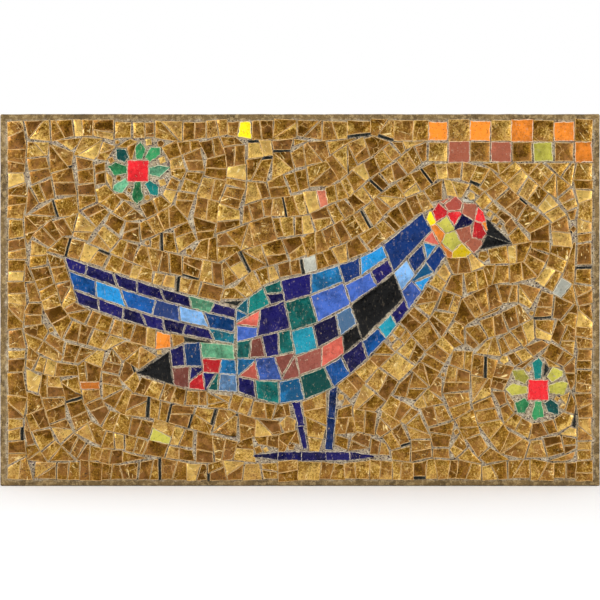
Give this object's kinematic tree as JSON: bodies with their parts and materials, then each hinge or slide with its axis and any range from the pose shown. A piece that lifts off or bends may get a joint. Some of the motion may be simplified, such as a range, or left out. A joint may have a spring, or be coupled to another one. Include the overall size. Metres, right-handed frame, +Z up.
{
  "type": "mosaic panel",
  "caption": "Wall panel: a blue bird and two rosettes in coloured glass on a ground of gold-leaf glass tesserae, set in mortar on a cement slab.",
  "frame": {"origin": "centre of the slab's flat back face, which lies against the wall", "axes": "+X to the right and +Z up as the picture is seen, +Y into the wall; the picture faces -Y"},
  "size_m": [0.6, 0.0275, 0.372],
  "materials": {
    "cement": "smooth trowelled cement, matt, a little worn",
    "gold_glass": "hand-cut gold-leaf glass, glossy, set in sandy grout",
    "navy_glass": "opaque coloured glass, hand-cut, satin gloss",
    "cobalt_glass": "opaque coloured glass, hand-cut, satin gloss",
    "azure_glass": "opaque coloured glass, hand-cut, satin gloss",
    "periwinkle_glass": "opaque coloured glass, hand-cut, satin gloss",
    "sky_glass": "opaque coloured glass, hand-cut, satin gloss",
    "black_glass": "opaque coloured glass, hand-cut, satin gloss",
    "rust_glass": "opaque coloured glass, hand-cut, satin gloss",
    "seafoam_glass": "opaque coloured glass, hand-cut, satin gloss",
    "teal_glass": "opaque coloured glass, hand-cut, satin gloss",
    "turquoise_glass": "opaque coloured glass, hand-cut, satin gloss",
    "coral_glass": "opaque coloured glass, hand-cut, satin gloss",
    "royal_glass": "opaque coloured glass, hand-cut, satin gloss",
    "red_glass": "opaque coloured glass, hand-cut, satin gloss",
    "grout": "sandy cement grout with dark and light grains, matt",
    "dark_glass": "black-green glass seen on the cut edge of a gilded tessera, glossy",
    "orange_glass": "opaque coloured glass, hand-cut, satin gloss",
    "yellow_glass": "opaque coloured glass, hand-cut, satin gloss",
    "green_glass": "opaque coloured glass, hand-cut, satin gloss",
    "lime_glass": "opaque coloured glass, hand-cut, satin gloss",
    "salmon_glass": "opaque coloured glass, hand-cut, satin gloss",
    "white_glass": "opaque coloured glass, hand-cut, satin gloss"
  },
  "bodies": {
    "root": {"mortar_slab": "cement", "gold_ground_bed": "gold_glass", "tail_tessera_1": "navy_glass", "tail_tessera_2": "navy_glass", "tail_tessera_3": "navy_glass", "tail_tessera_4": "navy_glass", "tail_tessera_5": "navy_glass", "tail_tessera_6": "navy_glass", "tail_tessera_7": "cobalt_glass", "tail_tessera_8": "azure_glass", "tail_tessera_9": "cobalt_glass", "tail_tessera_10": "periwinkle_glass", "tail_tessera_11": "sky_glass", "tail_tessera_12": "cobalt_glass", "tail_tessera_13": "navy_glass", "tail_tessera_14": "navy_glass", "tail_tessera_15": "navy_glass", "tail_tessera_16": "navy_glass", "wing_tip_tessera_1": "black_glass", "wing_tessera_1": "navy_glass", "wing_tessera_2": "cobalt_glass", "wing_tessera_3": "rust_glass", "wing_tessera_4": "seafoam_glass", "wing_tessera_5": "sky_glass", "body_tessera_1": "teal_glass", "body_tessera_2": "periwinkle_glass", "body_tessera_3": "navy_glass", "body_tessera_4": "rust_glass", "body_tessera_5": "navy_glass", "body_tessera_6": "teal_glass", "body_tessera_7": "periwinkle_glass", "body_tessera_8": "navy_glass", "body_tessera_9": "teal_glass", "body_tessera_10": "azure_glass", "body_tessera_11": "navy_glass", "body_tessera_12": "azure_glass", "body_tessera_13": "teal_glass", "body_tessera_14": "periwinkle_glass", "body_tessera_15": "turquoise_glass", "body_tessera_16": "navy_glass", "body_tessera_17": "sky_glass", "body_tessera_18": "rust_glass", "body_tessera_19": "coral_glass", "body_tessera_20": "black_glass", "body_tessera_21": "teal_glass", "body_tessera_22": "cobalt_glass", "body_tessera_23": "navy_glass", "breast_tessera_1": "royal_glass", "breast_tessera_2": "azure_glass", "breast_tessera_3": "periwinkle_glass", "breast_tessera_4": "navy_glass", "breast_tessera_5": "black_glass", "breast_tessera_6": "cobalt_glass", "neck_tessera_1": "royal_glass", "neck_tessera_2": "sky_glass", "neck_tessera_3": "royal_glass", "neck_tessera_4": "periwinkle_glass", "neck_tessera_5": "royal_glass", "left_rosette_centre": "red_glass", "right_rosette_centre": "red_glass"}
  },
  "joints": []
}
